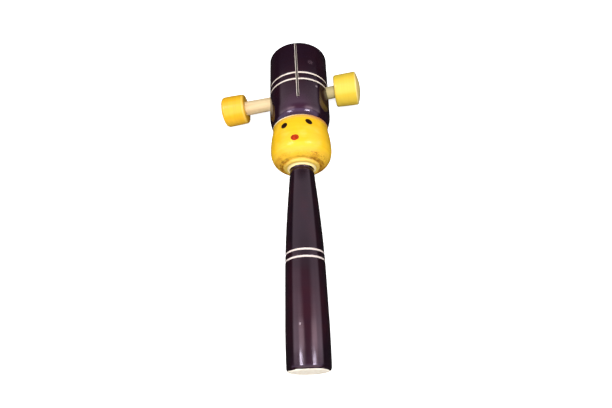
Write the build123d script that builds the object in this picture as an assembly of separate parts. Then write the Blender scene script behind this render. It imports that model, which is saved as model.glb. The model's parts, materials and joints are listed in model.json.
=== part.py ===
from build123d import *

import os
from math import sqrt

# A turned and lacquered wooden doll rattle, lying on its back. Shaking it slides a rod with two knobs
# to and fro through the doll's hollow hat, so that the knobs knock on the hat's sides.
# Millimetres. The origin is the centre of the handle's end face. +Y runs along the doll's axis from
# the handle's end to the top of the hat, +Z points out of the doll's face, and the rod runs along X.

# Stations along the doll's axis where the pieces meet or change shape.
lacquer_end_y = 124.5
neck_y = 126.4
collar_y = 127.8
head_top_y = 156.5
brim_y = 166.5
hat_top_y = 216.1

# Handle.
end_edge = 2.2
end_radius = 12.55
grip_radius, grip_y = 12.7, 17.5
palm_radius, palm_y = 12.4, 41.0
band_radius, band_y = 11.9, 64.0
waist_radius, waist_y = 9.42, 105.0
throat_radius = 7.7
shoulder_radius = 8.4
tenon_radius = 5.0
tenon_length = 24.0

# Head.
collar_radius = 11.7
collar_edge = 0.8
groove_width = 1.2
groove_depth = 0.5
chin_radius, chin_y = 16.65, 130.0
jaw_radius, jaw_y = 19.2, 134.0
cheek_radius, cheek_y = 19.97, 140.5
temple_radius, temple_y = 19.2, 149.0
brow_radius, brow_y = 18.1, 154.5
brow_bead = 0.3
spigot_length = 10.0

# Hat.
bore_radius = 13.0
crown_thickness = 9.5
brim_underside_radius = 18.05
brim_roll_radius, brim_roll_y = 18.75, 158.2
brim_radius = 20.3
hat_top_radius = 20.0
hat_top_edge = 2.8

# Pairs of turned rings, cut through the lacquer to the bare wood.
handle_ring_ys = (62.8, 67.3)
hat_ring_ys = (183.9, 189.1)
ring_width = 1.35
ring_depth = 0.25

# The slit sawn down into the hat's front, right of the face's middle and slightly askew. The saw was
# held at a slant, so that the cut is deep at the slit's bottom and runs out at the edge of the hat's top.
slit_bottom_y = 169.4
slit_width = 1.0
slit_edge = 0.5
slit_x = 2.4
slit_floor_z = 3.0
slit_top_floor_z = 18.4
slit_skew = 0.8

# The rod, a little thicker at its left end, and the two holes that it slides in, bored askew.
rod_left_radius = 4.9
rod_right_radius = 4.25
rod_hole_radius = 5.3
rod_y = 182.5
rod_lean = 3.2

# Knobs, placed by their middles along the rod.
left_knob_at = -46.6
left_knob_length = 17.7
right_knob_at = 33.9
right_knob_length = 17.2
right_knob_askew = -2.5
knob_socket_depth = 10.0

# Clearances, and the small chamfer on hidden ends.
glue_gap = 0.03
turning_gap = 0.05
end_gap = 0.2
small_edge = 0.6
overshoot = 3.0


def turned(*edges):
    """The solid made by turning a closed outline in the X-Y plane about the Y axis."""
    return revolve(make_face(edges), Axis.Y)


def radius_on(line, y):
    """The radius of an outline's edge at a station, found by halving."""
    below, above = 0.0, 1.0
    for _ in range(30):
        middle = (below + above) / 2
        if (line @ middle).Y < y:
            below = middle
        else:
            above = middle
    return (line @ below).X


def ring_cutter(radius, y):
    """The shallow groove of one turned ring in a surface of this radius."""
    low, high = y - ring_width / 2, y + ring_width / 2
    floor, outside = radius - ring_depth, radius + overshoot
    return turned(Polyline((floor, low), (outside, low), (outside, high), (floor, high), (floor, low)))


def spigot(radius, bottom, top):
    """The outline of a round spigot with a chamfered top, from its root in to the axis."""
    return [
        (radius, bottom),
        (radius, top - small_edge),
        (radius - small_edge, top),
        (0, top),
    ]


def handle():
    """A tapered grip with two turned rings, a bare shoulder and a tenon for the head."""
    grip_line = Spline(
        (end_radius, end_edge),
        (grip_radius, grip_y),
        (palm_radius, palm_y),
        (band_radius, band_y),
        (waist_radius, waist_y),
        (throat_radius, lacquer_end_y),
    )
    end_arc = CenterArc((end_radius - end_edge, end_edge), end_edge, -90, 90)
    inside = Polyline(
        (throat_radius, lacquer_end_y),
        (shoulder_radius, neck_y),
        *spigot(tenon_radius, neck_y, neck_y + tenon_length),
        (0, 0),
        (end_radius - end_edge, 0),
    )
    body = turned(end_arc, grip_line, inside)
    for y in handle_ring_ys:
        body -= ring_cutter(radius_on(grip_line, y), y)
    return body


def head():
    """A round head on a grooved collar, with a socket for the handle and a spigot for the hat."""
    socket_radius = tenon_radius + glue_gap
    socket_top = neck_y + tenon_length + end_gap
    cheek_line = Spline(
        (collar_radius + groove_width, collar_y),
        (chin_radius, chin_y),
        (jaw_radius, jaw_y),
        (cheek_radius, cheek_y),
        (temple_radius, temple_y),
        (brow_radius, brow_y),
    )
    outside = Polyline(
        (brow_radius, brow_y),
        (brow_radius + brow_bead, brow_y + brow_bead),
        (brow_radius + brow_bead, head_top_y),
        *spigot(bore_radius - glue_gap, head_top_y, head_top_y + spigot_length),
        (0, socket_top),
        (socket_radius, socket_top),
        (socket_radius, neck_y),
        (collar_radius - collar_edge, neck_y),
        (collar_radius, neck_y + collar_edge),
        (collar_radius + groove_width / 2, collar_y + groove_depth),
        (collar_radius + groove_width, collar_y),
    )
    return turned(cheek_line, outside)


def slit_cutter():
    """A slanting saw cut through one wall of the hat, wider at the surface where its edges are bare."""
    half, half_edge = slit_width / 2, slit_width / 2 + slit_edge
    surface_z = sqrt(hat_top_radius**2 - slit_x**2)
    bevel_z = surface_z - slit_edge / 2
    section = Polyline(
        (-half, slit_floor_z),
        (half, slit_floor_z),
        (half, bevel_z),
        (half_edge, surface_z),
        (half_edge, brim_radius + overshoot),
        (-half_edge, brim_radius + overshoot),
        (-half_edge, surface_z),
        (-half, bevel_z),
        (-half, slit_floor_z),
    )
    above, outside = hat_top_y + overshoot, brim_radius + overshoot
    length = above - slit_bottom_y
    bar = extrude(Plane.XZ * make_face(section), amount=length / 2, both=True)
    slant = Polyline(
        (slit_bottom_y, slit_floor_z),
        (hat_top_y, slit_top_floor_z),
        (above, slit_top_floor_z),
        (above, outside),
        (slit_bottom_y, outside),
        (slit_bottom_y, slit_floor_z),
    )
    reach = extrude(Plane.YZ * make_face(slant), amount=slit_x + overshoot, both=True)
    return Pos(slit_x, slit_bottom_y + length / 2, 0) * Rot(0, 0, slit_skew) * bar & reach


def hat():
    """A hollow hat, closed by its crown, with a rolled brim, two turned rings, a slit and holes for the rod."""
    crown_y = hat_top_y - crown_thickness
    side = Line((brim_radius, brim_y), (hat_top_radius, hat_top_y - hat_top_edge))
    brim_arc = TangentArc((brim_radius, brim_y), (brim_roll_radius, brim_roll_y), tangent=(0, -1))
    brim_edge = TangentArc(brim_arc @ 1, (brim_underside_radius, head_top_y), tangent=brim_arc % 1)
    top_arc = CenterArc((hat_top_radius - hat_top_edge, hat_top_y - hat_top_edge), hat_top_edge, 0, 90)
    inside = Polyline(
        (hat_top_radius - hat_top_edge, hat_top_y),
        (0, hat_top_y),
        (0, crown_y),
        (bore_radius - small_edge, crown_y),
        (bore_radius, crown_y - small_edge),
        (bore_radius, head_top_y),
        (brim_underside_radius, head_top_y),
    )
    body = turned(brim_edge, brim_arc, side, top_arc, inside)
    for y in hat_ring_ys:
        body -= ring_cutter(radius_on(side, y), y)
    return body - along_rod(Cylinder(rod_hole_radius, 4 * brim_radius, rotation=(90, 0, 0))) - slit_cutter()


def along_rod(piece, at=0, outward=1):
    """Lays a piece turned about +Y on the rod, its foot at this place and its top outward, 1 or -1."""
    return Pos(0, rod_y, 0) * Rot(0, 0, rod_lean) * Pos(at, 0, 0) * Rot(0, 0, -90 * outward) * piece


def rod():
    """A turned rod, tapering between its straight ends, which stop just short of the sockets' bottoms."""
    left_end = left_knob_at + left_knob_length / 2 - knob_socket_depth + end_gap
    right_end = right_knob_at - right_knob_length / 2 + knob_socket_depth - end_gap
    length = right_end - left_end
    dowel = turned(
        Polyline(
            (0, 0),
            (rod_left_radius - small_edge, 0),
            (rod_left_radius, small_edge),
            (rod_left_radius, knob_socket_depth),
            (rod_right_radius, length - knob_socket_depth),
            (rod_right_radius, length - small_edge),
            (rod_right_radius - small_edge, length),
            (0, length),
            (0, 0),
        )
    )
    return along_rod(dowel, left_end)


def knob(length, inner_radius, outer_radius, bulge, inner_edge, outer_edge, dome, socket_radius, askew=0):
    """A turned knob with a domed outer face, standing on its inner face, with a blind socket for the rod."""
    rim_y = length - dome
    side_bottom = (inner_radius, inner_edge)
    side_middle = ((inner_radius + outer_radius) / 2 + bulge, rim_y / 2)
    side_top = (outer_radius, rim_y - outer_edge)
    body = turned(
        CenterArc((inner_radius - inner_edge, inner_edge), inner_edge, -90, 90),
        ThreePointArc(side_bottom, side_middle, side_top),
        CenterArc((outer_radius - outer_edge, rim_y - outer_edge), outer_edge, 0, 90),
        TangentArc((0, length), (outer_radius - outer_edge, rim_y), tangent=(1, 0)),
        Polyline((0, length), (0, 0), (inner_radius - inner_edge, 0)),
    )
    middle = Pos(0, length / 2, 0)
    socket = Cylinder(socket_radius, 2 * knob_socket_depth, rotation=(90, 0, 0))
    return middle * Rot(0, 0, askew) * middle.inverse() * body - socket


def knob_left():
    """The smaller and rounder knob, at the rod's left end."""
    piece = knob(
        length=left_knob_length,
        inner_radius=10.15,
        outer_radius=10.5,
        bulge=0.12,
        inner_edge=1.4,
        outer_edge=2.4,
        dome=1.6,
        socket_radius=rod_left_radius + turning_gap,
    )
    return along_rod(piece, left_knob_at + left_knob_length / 2, -1)


def knob_right():
    """The larger and crisper knob, at the rod's right end, bored a little askew."""
    piece = knob(
        length=right_knob_length,
        inner_radius=10.8,
        outer_radius=11.2,
        bulge=0.05,
        inner_edge=1.2,
        outer_edge=1.2,
        dome=1.9,
        socket_radius=rod_right_radius + turning_gap,
        askew=right_knob_askew,
    )
    return along_rod(piece, right_knob_at - right_knob_length / 2)


os.makedirs("parts", exist_ok=True)
for piece in (handle, head, hat, rod, knob_left, knob_right):
    export_step(piece(), f"parts/{piece.__name__}.step")
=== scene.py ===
import functools
import itertools
import json
import math

import bmesh
import bpy
from mathutils import Matrix, Vector, noise
from mathutils.bvhtree import BVHTree


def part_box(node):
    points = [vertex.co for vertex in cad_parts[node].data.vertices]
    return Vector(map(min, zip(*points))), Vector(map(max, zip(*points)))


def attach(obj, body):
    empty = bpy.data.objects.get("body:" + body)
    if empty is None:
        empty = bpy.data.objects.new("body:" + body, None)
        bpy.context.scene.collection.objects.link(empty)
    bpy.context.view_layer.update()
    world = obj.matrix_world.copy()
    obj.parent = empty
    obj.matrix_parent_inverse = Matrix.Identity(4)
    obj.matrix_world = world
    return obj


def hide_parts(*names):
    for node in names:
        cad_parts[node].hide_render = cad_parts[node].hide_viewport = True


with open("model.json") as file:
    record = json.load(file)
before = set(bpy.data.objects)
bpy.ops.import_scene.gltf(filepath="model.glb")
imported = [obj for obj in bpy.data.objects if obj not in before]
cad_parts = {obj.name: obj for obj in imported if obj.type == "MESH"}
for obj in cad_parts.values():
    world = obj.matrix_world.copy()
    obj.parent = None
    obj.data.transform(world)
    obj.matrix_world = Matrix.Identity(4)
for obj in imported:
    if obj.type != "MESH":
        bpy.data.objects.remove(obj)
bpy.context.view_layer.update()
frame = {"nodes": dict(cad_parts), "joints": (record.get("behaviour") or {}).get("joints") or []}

# A turned, lac-coloured doll rattle that lies on its back. Its axis is +Y, from the handle's end to the
# hat's top, and its face looks along +Z. Shapes and lights are in metres, and materials in millimetres.
# A station is a place along the axis that a piece is turned about, and a turn is an angle round it, from
# +Z toward +X. Left is toward -X and right is toward +X.
mm = 0.001
joints = {joint["name"]: joint for joint in frame["joints"]}
rod_axis = Vector(joints["rod_slide"]["axis"]).normalized()
rod_middle = Vector(joints["knob_spin"]["pos_m"])

# How the outlines are read, how finely they are meshed, and how far sharp edges are worn down.
weld = 0.5e-6
reading_error = 0.014 * mm
step_along = 0.7 * mm
steps_around = 288
sharp_turn = math.radians(28)
worn_edge = 0.12 * mm
shoulder_wear = 0.8

# A distance from the axis that is clear of the doll.
far_out = 50 * mm

# Where the colours change, measured from the neck between handle and head and from the top of the head.
bare_shoulder = 0.9 * mm
collar_height = 1.4 * mm
bare_brow = 0.8 * mm


# ---------------------------------------------------------------- Shapes read off the CAD nodes

def along_rod(node, heading):
    """The place of a piece turned about the rod: its own axis +Y runs in this heading, 1 or -1."""
    outward_axis = rod_axis * heading
    squarely = 0.98
    faces = frame["nodes"][node].data.polygons
    end = min(face.center.dot(outward_axis) for face in faces)
    facing = Vector()
    for face in faces:
        if face.center.dot(outward_axis) < end + mm and face.normal.dot(outward_axis) < -squarely:
            facing -= face.normal * face.area
    turn = Matrix.Rotation(math.atan2(facing.y, facing.x) - math.pi / 2, 4, "Z")
    inside = [turn.inverted() @ vertex.co for vertex in frame["nodes"][node].data.vertices]
    lows = [min(point[i] for point in inside) for i in range(3)]
    highs = [max(point[i] for point in inside) for i in range(3)]
    return turn @ Matrix.Translation(((lows[0] + highs[0]) / 2, lows[1], (lows[2] + highs[2]) / 2))


def bisected(mesh, normal, clear=False):
    """What a plane through the origin cuts out of a mesh."""
    everything = mesh.verts[:] + mesh.edges[:] + mesh.faces[:]
    return bmesh.ops.bisect_plane(
        mesh, geom=everything, dist=weld, plane_co=(0, 0, 0), plane_no=normal, clear_inner=clear
    )["geom_cut"]


def thinned(points):
    """A chain of points without those that lie within the reading error of the line past them."""
    first, last = points[0], points[-1]
    chord = (last - first).normalized()
    offsets = [abs(chord.cross(point - first)) for point in points]
    worst = max(range(len(points)), key=offsets.__getitem__)
    if offsets[worst] < reading_error:
        return [first, last]
    return thinned(points[:worst + 1])[:-1] + thinned(points[worst:])


def section(node, place, turned):
    """A turned node's outline as (radius, station) points in order, and whether it is a closed loop."""
    mesh = bmesh.new()
    mesh.from_mesh(frame["nodes"][node].data)
    mesh.transform(Matrix.Rotation(turned, 4, "Y") @ place.inverted())
    bmesh.ops.remove_doubles(mesh, verts=mesh.verts, dist=weld)
    bisected(mesh, (1, 0, 0), clear=True)
    links = {}
    for edge in bisected(mesh, (0, 0, 1)):
        if isinstance(edge, bmesh.types.BMEdge):
            for one, other in (edge.verts, reversed(edge.verts)):
                links.setdefault(one, []).append(other)
    ends = [vertex for vertex in links if len(links[vertex]) == 1]
    chain = [min(ends or links, key=lambda vertex: vertex.co.y)]
    while chain[-1] is not None:
        chain.append(next((ahead for ahead in links[chain[-1]] if ahead not in chain), None))
    points = [Vector((vertex.co.x, vertex.co.y)) for vertex in chain[:-1]]
    mesh.free()
    if ends:
        return thinned(points), False
    half = len(points) // 2
    return thinned(points[:half + 1])[:-1] + thinned(points[half:]), True


def slope_at(run, i):
    """The heading of a smooth stretch of outline at one of its points, led by a much longer neighbour."""
    back = run[i] - run[i - 1] if i else run[1] - run[0]
    ahead = run[i + 1] - run[i] if i + 1 < len(run) else back
    much_longer = 2.5
    if max(back.length, ahead.length) > much_longer * min(back.length, ahead.length):
        return max(back, ahead, key=lambda part: part.length).normalized()
    return (back.normalized() + ahead.normalized()).normalized()


def eased(run):
    """A smooth stretch of outline as a cubic curve, with points no further apart than the mesh's step."""
    slopes = [slope_at(run, i) for i in range(len(run))]
    points = []
    for start, end, leaving, arriving in zip(run, run[1:], slopes, slopes[1:]):
        length = (end - start).length
        count = max(1, math.ceil(length / step_along))
        for i in range(count):
            t = i / count
            points.append(
                start * (2 * t ** 3 - 3 * t ** 2 + 1)
                + leaving * length * (t ** 3 - 2 * t ** 2 + t)
                + end * (3 * t ** 2 - 2 * t ** 3)
                + arriving * length * (t ** 3 - t ** 2)
            )
    return points + [run[-1]]


def sharp_corners(outline, closed):
    """Which points of an outline are sharp corners."""
    count = len(outline)
    corners = []
    for i in range(count):
        if closed or 0 < i < count - 1:
            back = outline[i] - outline[i - 1]
            ahead = outline[(i + 1) % count] - outline[i]
            if back.angle(ahead) > sharp_turn:
                corners.append(i)
    return corners


def worn_corner(before, corner, after):
    """The few points of a corner that is worn down a little between its neighbours."""
    nearly = 0.98
    start = corner + (before - corner) * min(1, worn_edge / (before - corner).length) * nearly
    end = corner + (after - corner) * min(1, worn_edge / (after - corner).length) * nearly
    return [start.lerp(corner, t).lerp(corner.lerp(end, t), t) for t in (0, 0.33, 0.67, 1)]


def refined(outline, closed):
    """An outline resampled smoothly between its sharp corners, each of which is worn down a little."""
    corners = sharp_corners(outline, closed)
    if closed:
        corners.append(corners[0] + len(outline))
        outline = outline + outline[:corners[0] + 1]
    else:
        corners = [0] + corners + [len(outline) - 1]
    runs = [eased(outline[first:last + 1]) for first, last in zip(corners, corners[1:])]
    points = [] if closed else [runs[0][0]]
    for run, following in zip(runs, runs[1:] + runs[:1]):
        points += run[1:-1]
        if closed or run is not runs[-1]:
            points += worn_corner(run[-2], run[-1], following[1])
    return points if closed else points + [runs[-1][-1]]


def link_mesh(name, mesh):
    """A new object in the scene that shows a mesh."""
    piece = bpy.data.objects.new(name, mesh)
    bpy.context.scene.collection.objects.link(piece)
    return piece


def closed_up(name, mesh, smooth=True):
    """A new object from a mesh being built, with its normals outward, and its shading smooth or flat."""
    bmesh.ops.recalc_face_normals(mesh, faces=mesh.faces)
    for face in mesh.faces:
        face.smooth = smooth
    data = bpy.data.meshes.new(name)
    mesh.to_mesh(data)
    mesh.free()
    return link_mesh(name, data)


def skin(mesh, one, other):
    """Faces between two rings of vertices, either of which may be a single vertex."""
    steps = max(len(one), len(other))
    for i in range(steps):
        j = (i + 1) % steps
        corners = (one[i % len(one)], one[j % len(one)], other[j % len(other)], other[i % len(other)])
        corners = list(dict.fromkeys(corners))
        if len(corners) > 2:
            mesh.faces.new(corners)


def lathe(name, outline, closed, place, relief=None):
    """The solid turned from an outline about its own +Y, with any relief added to its radius."""
    on_the_axis = 0.05 * mm
    mesh = bmesh.new()
    rings = []
    for point in outline:
        if abs(point.x) < on_the_axis:
            rings.append([mesh.verts.new((0, point.y, 0))])
            continue
        ring = []
        for i in range(steps_around):
            turn = 2 * math.pi * i / steps_around
            radius = point.x + (relief(point.y, turn, point.x) if relief else 0)
            ring.append(mesh.verts.new((radius * math.sin(turn), point.y, radius * math.cos(turn))))
        rings.append(ring)
    for low, high in zip(rings, rings[1:] + rings[:1] if closed else rings[1:]):
        skin(mesh, low, high)
    piece = closed_up(name, mesh)
    piece.matrix_world = place
    return piece


def hand_turned(station, turn, radius):
    """The faint unevenness of a surface turned by hand, left out of sockets, bores and tenons."""
    inner_radius, depth, wave_length = 7 * mm, 0.035 * mm, 9 * mm
    if radius < inner_radius:
        return 0
    return depth * noise.noise(Vector((math.cos(turn) * 0.8, math.sin(turn) * 0.8, station / wave_length)))


def turned_node(node, place=Matrix.Identity(4), turned=0.0, relief=None):
    """A fine lathe-turned mesh of a CAD node, and the outline that was read off the node at this turn."""
    outline, closed = section(node, place, turned)
    return lathe(node + "_wood", refined(outline, closed), closed, place, relief), outline


# ---------------------------------------------------------------- Node trees

def paint(red, green, blue):
    """A colour given as it looks on a screen, 0 to 255."""
    def linear(value):
        share = value / 255
        return share / 12.92 if share <= 0.04045 else ((share + 0.055) / 1.055) ** 2.4
    return (linear(red), linear(green), linear(blue), 1.0)


def grey(level):
    """A grey of this level, which also stands for a plain number in a mix of two."""
    return (level, level, level, 1.0)


class Nodes:
    """A node tree that is added to. Apart from add and feed, each call gives a new node's output."""

    def __init__(self, tree):
        self.tree = tree

    def add(self, kind, **settings):
        """A new node with these settings."""
        node = self.tree.nodes.new(kind)
        for key, value in settings.items():
            setattr(node, key, value)
        return node

    def feed(self, socket, value):
        """Links an output to an input, or sets the input to a plain value."""
        if isinstance(value, bpy.types.NodeSocket):
            self.tree.links.new(value, socket)
        else:
            socket.default_value = value

    def fed(self, kind, *values, **settings):
        """The output of a new node whose first inputs get these values."""
        node = self.add(kind, **settings)
        for socket, value in zip(node.inputs, values):
            self.feed(socket, value)
        return node.outputs[0]

    def split(self, vector):
        """A vector's three parts."""
        node = self.add("ShaderNodeSeparateXYZ")
        self.feed(node.inputs[0], vector)
        return node.outputs

    def math(self, operation, first, second=0.0):
        return self.fed("ShaderNodeMath", first, second, operation=operation)

    def plus(self, first, second):
        return self.math("ADD", first, second)

    def minus(self, first, second):
        return self.math("SUBTRACT", first, second)

    def times(self, first, *others):
        for other in others:
            first = self.math("MULTIPLY", first, other)
        return first

    def largest(self, first, *others):
        for other in others:
            first = self.math("MAXIMUM", first, other)
        return first

    def less(self, share):
        """What a share leaves of the whole."""
        return self.minus(1.0, share)

    def rise(self, value, low, high):
        """0 below low, 1 above high, smooth between."""
        return self.fed("ShaderNodeMapRange", value, low, high, interpolation_type="SMOOTHSTEP")

    def fall(self, value, low, high):
        """1 below low, 0 above high, smooth between."""
        return self.less(self.rise(value, low, high))

    def window(self, value, low, high, soft):
        """1 between low and high, fading to 0 over a soft width outside."""
        return self.times(self.rise(value, low - soft, low), self.fall(value, high, high + soft))

    def choose(self, share, first, second):
        """A blend of two shaders."""
        return self.fed("ShaderNodeMixShader", share, first, second)

    def both(self, first, second):
        """The sum of two shaders."""
        return self.fed("ShaderNodeAddShader", first, second)


class Finish(Nodes):
    """A procedural material on a turned piece. Lengths in it are in millimetres."""

    def __init__(self, name):
        self.material = bpy.data.materials.new(name)
        self.material.use_nodes = True
        super().__init__(self.material.node_tree)
        self.surface = self.tree.nodes["Principled BSDF"]
        place = self.add("ShaderNodeTexCoord").outputs["Object"]
        self.point = self.vector("MULTIPLY", place, (1 / mm, 1 / mm, 1 / mm))
        self.across, self.along, self.up = self.split(self.point)
        across_squared, up_squared = self.times(self.across, self.across), self.times(self.up, self.up)
        self.radius = self.math("SQRT", self.plus(across_squared, up_squared))
        self.turn = self.math("ARCTAN2", self.across, self.up)

    def vector(self, operation, first, second):
        return self.fed("ShaderNodeVectorMath", first, second, operation=operation)

    def mix(self, share, first, second):
        """A blend of two colours."""
        node = self.add("ShaderNodeMix", data_type="RGBA")
        self.feed(node.inputs[0], share)
        self.feed(node.inputs[6], first)
        self.feed(node.inputs[7], second)
        return node.outputs[2]

    def noise(self, scale, stretch=(1, 1, 1), detail=3.0, rough=0.5, shift=0.0):
        """Noise from 0 to 1 with this many cells per millimetre, before the stretch."""
        moved = self.vector("ADD", self.vector("MULTIPLY", self.point, stretch), (shift, shift, shift))
        node = self.add("ShaderNodeTexNoise")
        for key, value in (("Vector", moved), ("Scale", scale), ("Detail", detail), ("Roughness", rough)):
            self.feed(node.inputs[key], value)
        return node.outputs[0]

    def uneven(self, scale, size, shift=0.0):
        """The station, with a soft random shift of up to half this size either way."""
        return self.plus(self.along, self.wander(scale, size, shift))

    def wander(self, scale, size, shift=0.0):
        """A soft random value of up to half this size either way."""
        return self.times(self.minus(self.noise(scale, detail=2.0, shift=shift), 0.5), size)

    def spot(self, station, turn, length, width, soft, radius):
        """1 inside an oval on a turned surface of this radius, fading to 0 over a soft share of its size."""
        along = self.math("DIVIDE", self.minus(self.along, station), length / 2)
        around = self.times(self.minus(self.turn, math.radians(turn)), radius / (width / 2))
        squares = self.plus(self.math("POWER", along, 2.0), self.math("POWER", around, 2.0))
        return self.fall(self.math("SQRT", squares), 1.0 - soft, 1.0 + soft)

    def lathe_lines(self, scale, shift=0.0):
        """Fine lines round a turned piece, which come and go a little along their length."""
        return self.noise(scale, stretch=(0.05, 1, 0.05), detail=4.0, rough=0.6, shift=shift)

    def bump(self, height, distance):
        """Raises the surface by up to this distance."""
        node = self.add("ShaderNodeBump")
        self.feed(node.inputs["Height"], height)
        self.feed(node.inputs["Distance"], distance * mm)
        self.feed(self.surface.inputs["Normal"], node.outputs[0])

    def tool_marks(self):
        """The faint ridges round a piece that was lacquered on the lathe."""
        self.bump(self.lathe_lines(2.2), 0.01)

    def finish(self, colour, roughness, specular=0.5, tint=grey(1.0)):
        """The finished material."""
        self.feed(self.surface.inputs["Base Color"], colour)
        self.feed(self.surface.inputs["Roughness"], roughness)
        self.feed(self.surface.inputs["Specular IOR Level"], specular)
        self.feed(self.surface.inputs["Specular Tint"], tint)
        return self.material


# ---------------------------------------------------------------- Materials

lac_tint = (1.0, 0.84, 0.93, 1.0)
scuff_colour = paint(190, 172, 180)
along_grain = (1, 0.1, 1)
bare_wood_roughness = 0.6


def wood_grain(f, light, dark, stretch):
    """Straight-grained bare wood: soft broad bands and fine dark pores along the grain."""
    bands = f.noise(0.5, stretch, detail=2.0)
    pores = f.rise(f.noise(3.0, stretch, detail=3.0, shift=7.0), 0.56, 0.75)
    tone = f.mix(f.rise(bands, 0.35, 0.7), light, dark)
    return f.mix(f.times(pores, 0.5), tone, dark)


def lac_purple(f, deep, warm, cool):
    """Dark purple lac: cloudy, streaked round the piece where the lac stick was pressed on."""
    clouds = f.rise(f.noise(0.06, stretch=(1, 0.6, 1), detail=2.0), 0.35, 0.65)
    streaks = f.rise(f.lathe_lines(1.1, shift=3.0), 0.4, 0.7)
    tone = f.mix(clouds, deep, warm)
    return f.mix(f.times(streaks, 0.5), tone, cool)


def scuffed(f, colour, pale, station, turn, length, width, radius):
    """A small pale rubbed mark on a surface of this radius."""
    mark = f.spot(station, turn, length, width, soft=0.5, radius=radius)
    gaps = f.rise(f.noise(2.5, shift=station), 0.3, 0.7)
    return f.mix(f.times(mark, gaps), colour, pale)


def in_rings(f, rings, covered):
    """1 in the turned rings, whose edges the lac covers by this much, unevenly."""
    along = f.uneven(0.4, 0.16)
    share = 0.0
    for low, high in rings:
        share = f.largest(share, f.window(along, low + covered, high - covered, 0.06))
    return share


def handle_finish(rings, lacquer_end):
    """Purple lac on the handle, with bare wood in the rings, at the shoulder and on the end."""
    f = Finish("purple_lac_handle")
    lac = lac_purple(f, deep=paint(24, 13, 19), warm=paint(40, 16, 24), cool=paint(27, 18, 31))
    lac = scuffed(f, lac, scuff_colour, station=24, turn=-8.7, length=1.5, width=1.0, radius=12.6)

    end_wood = wood_grain(f, paint(255, 248, 232), paint(246, 232, 212), along_grain)
    ring_wood, shoulder_wood = paint(228, 212, 204), paint(250, 228, 160)
    past_end, past_rings = f.rise(f.along, 5, 6), f.rise(f.along, 100, 101)
    wood = f.mix(past_rings, f.mix(past_end, end_wood, ring_wood), shoulder_wood)

    at_end = f.fall(f.uneven(0.12, 1.2, shift=5.0), 0.35, 0.5)
    at_shoulder = f.rise(f.along, lacquer_end - 0.05, lacquer_end + 0.05)
    bare = f.largest(at_end, in_rings(f, rings, covered=0.15), at_shoulder)
    f.tool_marks()
    rough = f.mix(bare, grey(0.09), grey(bare_wood_roughness))
    return f.finish(f.mix(bare, lac, wood), rough, tint=lac_tint)


def hat_finish(rings, side, top, slit_middle):
    """Purple lac on the hat's outside, and bare wood inside it and in its rings, slit and rod holes, with a
    painted sheen low on its front and painted shade in the slit.
    """
    f = Finish("purple_lac_hat")
    lac = lac_purple(f, deep=paint(30, 14, 24), warm=paint(36, 15, 24), cool=paint(30, 17, 32))
    # Painted sheen: a paler purple patch low on the hat's front stands for the lac's reflection of the room.
    painted_sheen_spot = f.spot(station=163, turn=4, length=16, width=17, soft=0.6, radius=side)
    lac = f.mix(f.times(painted_sheen_spot, 0.6), lac, paint(60, 34, 54))
    lac = scuffed(f, lac, scuff_colour, station=179.6, turn=45.4, length=1.5, width=1.5, radius=side)
    dull_scuff = paint(84, 66, 74)
    lac = scuffed(f, lac, dull_scuff, station=198.6, turn=34.7, length=3.4, width=3.4, radius=side)

    wood = wood_grain(f, paint(238, 226, 214), paint(218, 203, 187), along_grain)
    sawn = f.add("ShaderNodeAttribute", attribute_name="sawn").outputs["Fac"]
    # Painted shade: the slit's right bevel faces left and is darkened as if it caught less light.
    right_shoulder_shade = f.times(sawn, f.rise(f.across, slit_middle, slit_middle + 0.4))
    wood = f.mix(f.times(right_shoulder_shade, 0.45), wood, paint(150, 132, 122))
    # Painted shade deep in the saw cut, where little light reaches.
    shade_deep_in_cut = f.times(sawn, f.rise(f.minus(side, f.radius), 0.3, 0.5))
    wood = f.mix(f.times(shade_deep_in_cut, 0.94), wood, paint(40, 28, 24))

    inside = f.times(f.fall(f.radius, 15.5, 16.0), f.fall(f.along, top - 2, top - 1))
    bare = f.largest(sawn, inside, in_rings(f, rings, covered=0.08))
    f.tool_marks()
    rough = f.mix(bare, grey(0.1), grey(bare_wood_roughness))
    return f.finish(f.mix(bare, lac, wood), rough, tint=lac_tint)


def head_yellow(f, collar_top):
    """Yellow lac with painted soft highlights as pale clouds over the cheeks, paler on the collar and darker
    just above it.
    """
    streaks = f.rise(f.lathe_lines(0.8), 0.35, 0.7)
    yellow = f.mix(streaks, paint(246, 195, 33), paint(243, 187, 26))
    # Painted highlight: pale clouds on the front of the cheeks stand for soft reflections of the lamps.
    clouds = f.rise(f.noise(0.09, (1, 1.4, 1), detail=2.0, shift=11.0), 0.45, 0.7)
    sheen_on_cheeks = f.window(f.along, collar_top + 4, collar_top + 16, 6)
    sheen_in_front = f.window(f.turn, -0.5, 0.6, 0.4)
    yellow = f.mix(f.times(clouds, sheen_on_cheeks, sheen_in_front, 0.4), yellow, paint(253, 214, 96))
    yellow = f.mix(f.fall(f.along, collar_top - 0.4, collar_top), yellow, paint(240, 210, 104))
    low_part = f.window(f.along, collar_top - 0.5, collar_top + 3.5, 3)
    return f.mix(f.times(low_part, 0.5), yellow, paint(228, 180, 62))


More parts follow.
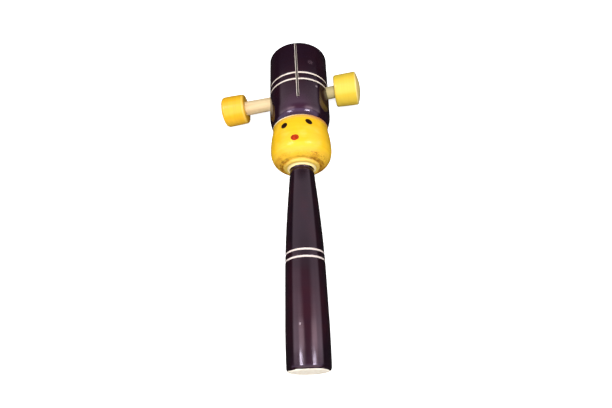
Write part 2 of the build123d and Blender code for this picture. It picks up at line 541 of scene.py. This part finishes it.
def browned_and_shaded(f, yellow, collar_top):
    """Yellow lac with brown in the groove over the collar, partly burnt in and partly painted shade, and
    burnt flecks and blotches above it.
    """
    blotches = f.rise(f.noise(0.22, detail=3.0, rough=0.55, shift=13.0), 0.4, 0.6)
    above_collar = f.window(f.along, collar_top, collar_top + 2, 1.8)
    aside = f.less(f.window(f.turn, -0.3, 0.3, 0.4))
    yellow = f.mix(f.times(blotches, above_collar, aside, 0.55), yellow, paint(204, 138, 34))

    flecks = f.rise(f.noise(1.2, (1, 1.5, 1), detail=4.0, rough=0.75, shift=2.0), 0.5, 0.6)
    patches = f.rise(f.noise(0.16, detail=2.0, shift=9.0), 0.4, 0.6)
    in_patches = f.plus(0.35, f.times(patches, 0.65))
    band = f.window(f.along, collar_top + 0.4, collar_top + 2.4, 1.0)
    on_collar = f.times(f.fall(f.along, collar_top - 0.3, collar_top), 0.5)
    flecks = f.times(flecks, in_patches, 0.75, f.largest(band, on_collar))

    # The groove's brown is partly burn from turning and partly painted shade in the recess.
    groove_burn_and_shade = f.window(f.uneven(0.5, 0.5), collar_top - 0.1, collar_top + 0.45, 0.35)
    mottled = f.plus(0.25, f.times(f.rise(f.noise(0.45, detail=3.0, shift=4.0), 0.35, 0.65), 0.55))
    more_aside = f.plus(0.5, f.times(f.less(f.window(f.turn, -0.35, 0.35, 0.5)), 0.5))
    burn_and_groove_shade = f.times(f.largest(f.times(groove_burn_and_shade, mottled), flecks), more_aside)
    return f.mix(burn_and_groove_shade, yellow, paint(136, 78, 14))


def brow_worn_and_shaded(f, colour, wood, brow):
    """A colour with the bare edge over the brow, smeared reddish on the right, with a painted shadow just
    below the brow from the hat's brim; and where that edge is.
    """
    smeared = f.rise(f.plus(f.turn, f.wander(0.2, 0.3)), 0.25, 0.8)
    edge = f.mix(f.rise(f.turn, -0.55, 0.1), wood, paint(204, 166, 112))
    edge = f.mix(smeared, edge, paint(176, 112, 70))
    haze = f.times(smeared, 0.45, f.rise(f.along, brow - 1.8, brow))
    colour = f.mix(haze, colour, paint(200, 120, 96))
    # Painted shadow: a darker band on the head just below the brow, where the hat's brim overhangs.
    shade_under_brim = f.window(f.uneven(0.4, 0.6, shift=8.0), brow - 1.1, brow, 0.6)
    colour = f.mix(f.times(shade_under_brim, 0.55), colour, paint(170, 128, 50))
    over = f.rise(f.uneven(0.3, 0.5, shift=6.0), brow, brow + 0.15)
    return f.mix(over, colour, edge), over


def head_finish(neck, collar_top, brow):
    """Yellow lac, browned round the collar with painted shade in its groove, and worn at the brow with a
    painted shadow under the brim, with bare wood under the collar.
    """
    f = Finish("yellow_lac_head")
    wood = wood_grain(f, paint(250, 238, 205), paint(240, 222, 180), along_grain)
    colour = browned_and_shaded(f, head_yellow(f, collar_top), collar_top)
    colour, over_brow = brow_worn_and_shaded(f, colour, wood, brow)
    at_neck = f.times(f.fall(f.radius, 9.1, 9.6), f.fall(f.along, neck + 0.2, neck + 0.3))
    neck_wood = f.mix(0.45, wood, paint(250, 222, 130))
    f.tool_marks()
    rough = f.mix(f.largest(at_neck, over_brow), grey(0.25), grey(bare_wood_roughness))
    return f.finish(f.mix(at_neck, colour, neck_wood), rough)


def knob_finish(name, light, deep, pale, wear_and_highlight):
    """Yellow lac on a knob, streaked round it and paler between two places along it: worn on the right
    knob's rim, and a painted highlight at the left knob's inner edge.
    """
    f = Finish(name)
    lac = f.mix(f.rise(f.lathe_lines(0.9), 0.35, 0.7), light, deep)
    # The paler band: wear on the right knob's rim, and a painted highlight at the left knob's inner edge.
    wear_and_highlight_mask = f.window(f.uneven(0.3, 0.4), *wear_and_highlight, 0.5)
    lac = f.mix(f.times(wear_and_highlight_mask, 0.7), lac, pale)
    f.tool_marks()
    return f.finish(lac, 0.3, specular=0.8)


def rod_finish(length):
    """Bare wood with its grain along the rod, and painted shade on the short right stub between the hat and
    the right knob.
    """
    f = Finish("bare_rod_wood")
    grain = (1, 0.06, 1)
    wood = wood_grain(f, paint(218, 196, 152), paint(207, 179, 136), grain)
    # Painted shade: the right stub is darkened as if shadowed by the hat and the right knob.
    wood = f.mix(f.rise(f.along, length - 20, length - 15), wood, paint(182, 168, 120))
    f.bump(f.noise(2.0, grain), 0.02)
    return f.finish(wood, 0.55)


def dab_finish(name, colour):
    """A dab of thick gloss paint."""
    f = Finish(name)
    darker = [0.7 * part for part in colour]
    tone = f.mix(f.rise(f.noise(0.8), 0.3, 0.8), paint(*colour), paint(*darker))
    return f.finish(tone, 0.35, specular=0.15)


# ---------------------------------------------------------------- Cuts in the hat, and dabs of paint

def at_station(outline, station):
    """The outer radius of an outline at a station."""
    radii = []
    for one, other in zip(outline, outline[1:]):
        if min(one.y, other.y) <= station <= max(one.y, other.y) and one.y != other.y:
            radii.append(one.x + (other.x - one.x) * (station - one.y) / (other.y - one.y))
    return max(radii)


def grooves(outline):
    """The turned rings in an outline: the (low, high) stations in millimetres between square steps."""
    shallowest, deepest = 0.15 * mm, 0.4 * mm
    steps = []
    for one, other in zip(outline, outline[1:]):
        if abs(one.y - other.y) < weld and shallowest < abs(one.x - other.x) < deepest:
            steps.append(one.y / mm)
    steps.sort()
    return list(zip(steps[::2], steps[1::2]))


def tree_of(mesh):
    """A mesh's surface, ready for rays."""
    points = [vertex.co for vertex in mesh.vertices]
    return BVHTree.FromPolygons(points, [face.vertices for face in mesh.polygons])


def surface_at(tree, station, turn):
    """The point and normal where a surface is met from outside at a station and turn."""
    outward = Vector((math.sin(turn), 0, math.cos(turn)))
    point, normal, _, _ = tree.ray_cast(Vector((0, station, 0)) + outward * far_out, -outward, far_out)
    return point, normal


def height_under(tree, across, station):
    """How high a surface stands under a point well above the doll's face."""
    point, *_ = tree.ray_cast(Vector((across, station, far_out)), Vector((0, 0, -1)))
    return point.z


def middle(pair):
    return (pair[0] + pair[1]) / 2


def slit_at(tree, outline, station):
    """From where to where the slit reaches across at a station: its bevels' outer edges, and its saw cut."""
    scan_from, scan_to, scans_per_mm = -80, 321, 50
    bevel_depth, cut_depth = 0.06 * mm, 2 * mm
    bevels, cuts = [], []
    radius = at_station(outline, station)
    for step in range(scan_from, scan_to):
        across = step * mm / scans_per_mm
        depth = math.sqrt(radius ** 2 - across ** 2) - height_under(tree, across, station)
        if depth > bevel_depth:
            bevels.append(across)
        if depth > cut_depth:
            cuts.append(across)
    return (min(bevels), max(bevels)), (min(cuts), max(cuts))


def slit_cutter(tree, outline, top):
    """The saw that cut the hat's slit: it slants, has bevelled shoulders and was drawn unsteadily."""
    lower, upper, near_top = top - 36 * mm, top - 6 * mm, top - 3 * mm
    _, low_cut = slit_at(tree, outline, lower)
    bevel, cut = slit_at(tree, outline, upper)
    skew = (middle(cut) - middle(low_cut)) / (upper - lower)
    half_cut = (cut[1] - cut[0]) / 2
    half_bevel = half_cut + shoulder_wear * ((bevel[1] - bevel[0]) / 2 - half_cut)
    surface = math.sqrt(at_station(outline, upper) ** 2 - middle(cut) ** 2)

    def centre_at(station):
        return middle(cut) + skew * (station - upper)

    def floor_at(station):
        return height_under(tree, centre_at(station), station)

    slant = (floor_at(near_top) - floor_at(upper)) / (near_top - upper)
    too_shallow, search_step = 2 * mm, mm / 8
    stations = (upper - step * search_step for step in itertools.count())
    bottom = next(station for station in stations if floor_at(station) >= surface - too_shallow)
    end = top + 2 * mm
    outside, flare = surface + 3 * mm, 1.25
    shakiness, shake_along, shake_up = 0.09 * mm, 0.35 / mm, 0.2 / mm
    steps = 60
    mesh = bmesh.new()
    rows = []
    for i in range(steps + 1):
        station = bottom + (end - bottom) * i / steps
        half_section = [
            (half_cut, floor_at(upper) + slant * (station - upper)),
            (half_cut, surface - (half_bevel - half_cut) / 2),
            (half_bevel, surface),
            (half_bevel * flare, outside),
        ]
        row = []
        for side, points in ((1, half_section), (-1, half_section[::-1])):
            for across, height in points:
                shaken = noise.noise(Vector((side * 9, station * shake_along, height * shake_up)))
                x = centre_at(station) + side * across + shakiness * shaken
                row.append(mesh.verts.new((x, station, height)))
        rows.append(row)
    for low, high in zip(rows, rows[1:]):
        skin(mesh, low, high)
    mesh.faces.new(rows[0][::-1])
    mesh.faces.new(rows[-1])
    return closed_up("slit_cutter", mesh, smooth=False)


def hole_cutter(tree, outline):
    """The drill that made the hat's two rod holes, which also broke their edges a little."""
    in_the_wall = 15 * mm
    _, _, _, radius = tree.ray_cast(rod_middle + rod_axis * in_the_wall, Vector((0, 0, 1)))
    surface = at_station(outline, rod_middle.y)
    broken = 0.35 * mm
    end = surface + 4 * mm
    half_outline = [
        (radius, 0),
        (radius, surface - broken),
        (radius + broken, surface),
        (radius + 2 * broken, end),
        (0, end),
    ]
    points = [Vector((x, -y)) for x, y in half_outline[::-1]]
    points += [Vector(point) for point in half_outline[1:]]
    turn = Matrix.Rotation(math.atan2(rod_axis.y, rod_axis.x) - math.pi / 2, 4, "Z")
    return lathe("hole_cutter", points, False, Matrix.Translation(rod_middle) @ turn)


def cut_away(piece, cutter):
    """Cuts a piece with another and throws the cutter away."""
    piece.data.materials.append(bpy.data.materials.new("turned"))
    cutter.data.materials.append(bpy.data.materials.new("sawn"))
    modifier = piece.modifiers.new("cut", "BOOLEAN")
    modifier.operation = "DIFFERENCE"
    modifier.solver = "EXACT"
    modifier.material_mode = "TRANSFER"
    modifier.object = cutter
    bpy.context.view_layer.update()
    shaped = bpy.data.meshes.new_from_object(piece.evaluated_get(bpy.context.evaluated_depsgraph_get()))
    piece.modifiers.clear()
    piece.data = shaped
    bpy.data.objects.remove(cutter)


def mark_sawn(piece):
    """Keeps which faces the cutters left, as an attribute that the hat's finish reads."""
    names = [material.name for material in piece.data.materials]
    sawn = piece.data.attributes.new("sawn", "FLOAT", "FACE")
    for face, value in zip(piece.data.polygons, sawn.data):
        value.value = float(names[face.material_index].startswith("sawn"))
        face.material_index = 0


def dab(name, tree, material, station, turn, length, width, slant):
    """A raised oval dab of paint that follows the surface under it, tilted by its slant in degrees."""
    rings, spokes = 14, 72
    height, sunk = 0.16 * mm, 0.05 * mm
    middle_share, unsteadiness = 0.85, 0.07
    turn, slant = math.radians(turn), math.radians(slant)
    base, _ = surface_at(tree, station, turn)
    radius = math.hypot(base.x, base.z)
    mesh = bmesh.new()

    def at(share, angle, lift):
        shaky = Vector((math.cos(angle) * 1.3, math.sin(angle) * 1.3, station / mm + turn))
        wobble = 1 + unsteadiness * noise.noise(shaky)
        along = share * wobble * math.cos(angle) * length / 2
        across = share * wobble * math.sin(angle) * width / 2
        around = across * math.cos(slant) + along * math.sin(slant)
        upward = along * math.cos(slant) - across * math.sin(slant)
        point, normal = surface_at(tree, station + upward, turn + around / radius)
        return mesh.verts.new(point + normal * lift)

    def ring(share):
        crown = (middle_share + 0.5 * share ** 2) * (1 - share ** 6)
        lift = height * crown - sunk * share ** 6
        return [at(share, 2 * math.pi * i / spokes, lift) for i in range(spokes)]

    shells = [[at(0, 0, height * middle_share)]]
    shells += [ring(i / rings) for i in range(1, rings + 1)]
    shells.append([at(0, 0, -2 * sunk)])
    for inner, outer in zip(shells, shells[1:]):
        skin(mesh, inner, outer)
    piece = closed_up(name, mesh)
    piece.data.materials.append(material)
    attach(piece, "doll")


# ---------------------------------------------------------------- Pieces

def fit_in(piece, node, body, material):
    """Lets a piece stand for a CAD node, in its slot's finish, on its body."""
    piece.data.materials.clear()
    piece.data.materials.append(material)
    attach(piece, body)
    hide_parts(node)


handle, handle_outline = turned_node("handle", relief=hand_turned)
head, _ = turned_node("head", relief=hand_turned)
hat, hat_outline = turned_node("hat", turned=-math.pi / 2)
rod, rod_outline = turned_node("rod", along_rod("rod", 1))
knob_left, _ = turned_node("knob_left", along_rod("knob_left", -1))
knob_right, knob_right_outline = turned_node("knob_right", along_rod("knob_right", 1))

# The neck is where the handle narrows to its tenon, and the head's top is where the hat starts.
tenon_limit = 6 * mm
neck = max(point.y for point in handle_outline if point.x > tenon_limit)
head_top = min(point.y for point in hat_outline)
handle_lac = handle_finish(grooves(handle_outline), (neck - bare_shoulder) / mm)
fit_in(handle, "handle", "doll", handle_lac)
head_lac = head_finish(neck / mm, (neck + collar_height) / mm, (head_top - bare_brow) / mm)
fit_in(head, "head", "doll", head_lac)

hat_rings = grooves(hat_outline)
below_rings = hat_rings[0][0] * mm - mm
hat_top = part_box("hat")[1].y
hat_side = at_station(hat_outline, below_rings)
hat_tree = tree_of(frame["nodes"]["hat"].data)
cut_away(hat, slit_cutter(hat_tree, hat_outline, hat_top))
cut_away(hat, hole_cutter(hat_tree, hat_outline))
mark_sawn(hat)
halfway_up_slit = hat_top - 20 * mm
_, cut = slit_at(hat_tree, hat_outline, halfway_up_slit)
hat_lac = hat_finish(hat_rings, hat_side / mm, hat_top / mm, middle(cut) / mm)
fit_in(hat, "hat", "doll", hat_lac)

head_tree = tree_of(head.data)
black = dab_finish("black_eye_paint", (38, 20, 8))
red = dab_finish("red_mouth_paint", (190, 56, 14))
# Sizes in millimetres, and turns and slants in degrees.
for name, material, below_hat, turn, length, width, slant in (
    ("left_eye", black, 6.8, -22.8, 4.6, 4.8, 42),
    ("right_eye", black, 5.7, 27, 5.3, 4.0, -42),
    ("mouth", red, 18.1, -0.8, 4.4, 5.5, 0),
):
    dab(name, head_tree, material, head_top - below_hat * mm, turn, length * mm, width * mm, slant)

fit_in(rod, "rod", "rod", rod_finish(max(point.y for point in rod_outline) / mm))
# The left knob's pale band near its inner edge is a painted highlight.
left_lac = knob_finish(
    "lac_knob_left",
    light=paint(238, 183, 32),
    deep=paint(234, 175, 26),
    pale=paint(240, 196, 90),
    wear_and_highlight=(0.6, 1.4),
)
fit_in(knob_left, "knob_left", "knobs", left_lac)
worn_width = 3
right_rim = max(point.y for point in knob_right_outline) / mm - 2.6
right_lac = knob_finish(
    "lac_knob_right",
    light=paint(228, 195, 60),
    deep=paint(226, 190, 56),
    pale=paint(236, 212, 140),
    wear_and_highlight=(right_rim, right_rim + worn_width),
)
fit_in(knob_right, "knob_right", "knobs", right_lac)


# ---------------------------------------------------------------- Stage

# The place that the lights face, and the camera's place in metres, its turn in degrees and its lens in
# millimetres.
toy_middle = Vector((0, 0.11, 0))
camera_place = (0.050751, -0.037857, 0.287821)
camera_turn = (25.095, 10.603, -2.058)
camera_lens = 30.36


def floor():
    """A pale floor under the handle and the hat's brim. It glows a little, so that it looks white."""
    brim = max(hat_outline, key=lambda point: point.x)
    thinnest_grip = 10 * mm
    grip = [point for point in handle_outline if point.x > thinnest_grip]
    slope = min((brim.x - point.x) / (brim.y - point.y) for point in grip)
    reach, glow = 3.0, 0.78
    corners = []
    for x, y in ((-reach, -reach), (reach, -reach), (reach, reach), (-reach, reach)):
        corners.append((x, brim.y + y, -brim.x - slope * y))
    mesh = bpy.data.meshes.new("floor")
    mesh.from_pydata(corners, [], [(0, 1, 2, 3)])
    piece = link_mesh("floor", mesh)
    material = bpy.data.materials.new("pale_floor")
    material.use_nodes = True
    material.node_tree.nodes.clear()
    mesh.materials.append(material)

    n = Nodes(material.node_tree)
    path = n.add("ShaderNodeLightPath")
    to_the_eye = n.both(
        n.fed("ShaderNodeBsdfDiffuse", grey(0.8)),
        n.fed("ShaderNodeEmission", grey(1.0), glow),
    )
    to_the_toy = n.fed("ShaderNodeBsdfDiffuse", grey(0.45))
    in_the_lac = n.fed("ShaderNodeBsdfDiffuse", grey(0.02))
    shown = n.choose(path.outputs["Is Camera Ray"], to_the_toy, to_the_eye)
    shown = n.choose(path.outputs["Is Glossy Ray"], shown, in_the_lac)
    n.feed(n.add("ShaderNodeOutputMaterial").inputs["Surface"], shown)


def studio():
    """World light: white to the eye, a soft even fill, and bright panels that only show as reflections."""
    world = bpy.data.worlds.new("studio")
    bpy.context.scene.world = world
    world.use_nodes = True
    world.node_tree.nodes.clear()
    n = Nodes(world.node_tree)
    x, y, z = n.split(n.add("ShaderNodeTexCoord").outputs["Generated"])
    in_degrees = 180 / math.pi
    azimuth = n.times(n.math("ARCTAN2", x, z), in_degrees)
    elevation = n.times(n.math("ARCSINE", y), in_degrees)

    def panel(azimuths, side_soft, elevations, end_soft):
        """1 between these azimuths from +Z toward +X and elevations toward +Y, with soft edges."""
        across = n.window(azimuth, *azimuths, side_soft)
        return n.times(across, n.window(elevation, *elevations, end_soft))

    def pair(elevations, end_soft):
        """Two narrow panels, left and right of the toy."""
        left = panel((-30, -14), 10, elevations, end_soft)
        return n.plus(left, panel((35, 51), 10, elevations, end_soft))

    widening = n.times(n.rise(elevation, 8, 18), 10)
    left_of_gap = n.fall(n.plus(azimuth, widening), -22, 4)
    right_of_gap = n.rise(n.minus(azimuth, widening), 14, 40)
    gap = n.times(n.less(n.largest(left_of_gap, right_of_gap)), n.fall(elevation, 16, 30))
    brighter_low = n.plus(1.0, n.times(n.fall(elevation, 6, 22), 1.6))
    ceiling = n.times(panel((-60, 78), 16, (8.2, 38.1), 2.4), brighter_low, n.less(n.times(gap, 0.95)))
    in_gap = n.times(gap, n.window(elevation, 8, 17, 6))
    overhead = panel((-77, 72), 16, (-4, 3), 4)
    toward_handle = panel((-50, 65), 20, (-55, -14), 10)
    haze = 0.01
    # Each with where it shines, its strength and its colour.
    panels = (
        (n.plus(haze, ceiling), 1.08, (1.0, 0.88, 1.0, 1)),
        (pair((11, 11), 6), 2.6, (1.0, 0.76, 0.76, 1)),
        (pair((2.5, 4.5), 3), 3.0, (0.9, 0.9, 1.0, 1)),
        (in_gap, 0.4, (1.0, 0.36, 0.56, 1)),
        (overhead, 2.4, (0.74, 0.64, 1.0, 1)),
        (toward_handle, 2.2, (1.0, 0.86, 0.92, 1)),
    )
    lit = []
    for share, strength, colour in panels:
        lit.append(n.fed("ShaderNodeBackground", colour, n.times(share, strength)))
    reflected = functools.reduce(n.both, lit)
    fill = n.fed("ShaderNodeBackground", grey(1.0), 0.32)
    backdrop = n.fed("ShaderNodeBackground", grey(1.0), 1.0)
    path = n.add("ShaderNodeLightPath")
    shown = n.choose(path.outputs["Is Glossy Ray"], fill, reflected)
    shown = n.choose(path.outputs["Is Camera Ray"], shown, backdrop)
    n.feed(n.add("ShaderNodeOutputWorld").inputs["Surface"], shown)


def lamp(name, azimuth, elevation, distance, wide, tall, energy, colour=(1, 1, 1), glints=True):
    """An oval light that faces the toy, wide across it and tall along it, and may glint in the lac."""
    azimuth, elevation = math.radians(azimuth), math.radians(elevation)
    flat = math.cos(elevation)
    outward = Vector((flat * math.sin(azimuth), math.sin(elevation), flat * math.cos(azimuth)))
    light = bpy.data.lights.new(name, "AREA")
    light.shape = "ELLIPSE"
    light.size = tall
    light.size_y = wide
    light.energy = energy
    light.color = colour
    holder = bpy.data.objects.new(name, light)
    holder.location = toy_middle + distance * outward
    holder.rotation_euler = (toy_middle - holder.location).to_track_quat("-Z", "Y").to_euler()
    holder.visible_glossy = glints
    bpy.context.scene.collection.objects.link(holder)


def camera():
    """The camera, above the handle's end and to the toy's right, looking up the toy."""
    lens = bpy.data.cameras.new("camera")
    lens.sensor_width = 36
    lens.lens = camera_lens
    lens.clip_start = 0.01
    holder = bpy.data.objects.new("camera", lens)
    holder.location = camera_place
    holder.rotation_euler = [math.radians(angle) for angle in camera_turn]
    bpy.context.scene.collection.objects.link(holder)
    bpy.context.scene.camera = holder


bpy.context.scene.view_settings.view_transform = "Standard"
floor()
studio()
lamp("key", azimuth=8, elevation=-25, distance=1.2, wide=0.4, tall=0.4, energy=16.5, glints=False)
lamp("fill_left", azimuth=-70, elevation=-10, distance=1.2, wide=0.6, tall=0.6, energy=1.6, glints=False)
strip = {"distance": 1.5, "wide": 0.5, "tall": 0.03, "energy": 2.5, "colour": (0.84, 0.88, 1.0)}
lamp("lamp_left", azimuth=-27, elevation=2.0, **strip)
lamp("lamp_right", azimuth=38, elevation=1.6, **strip)
camera()
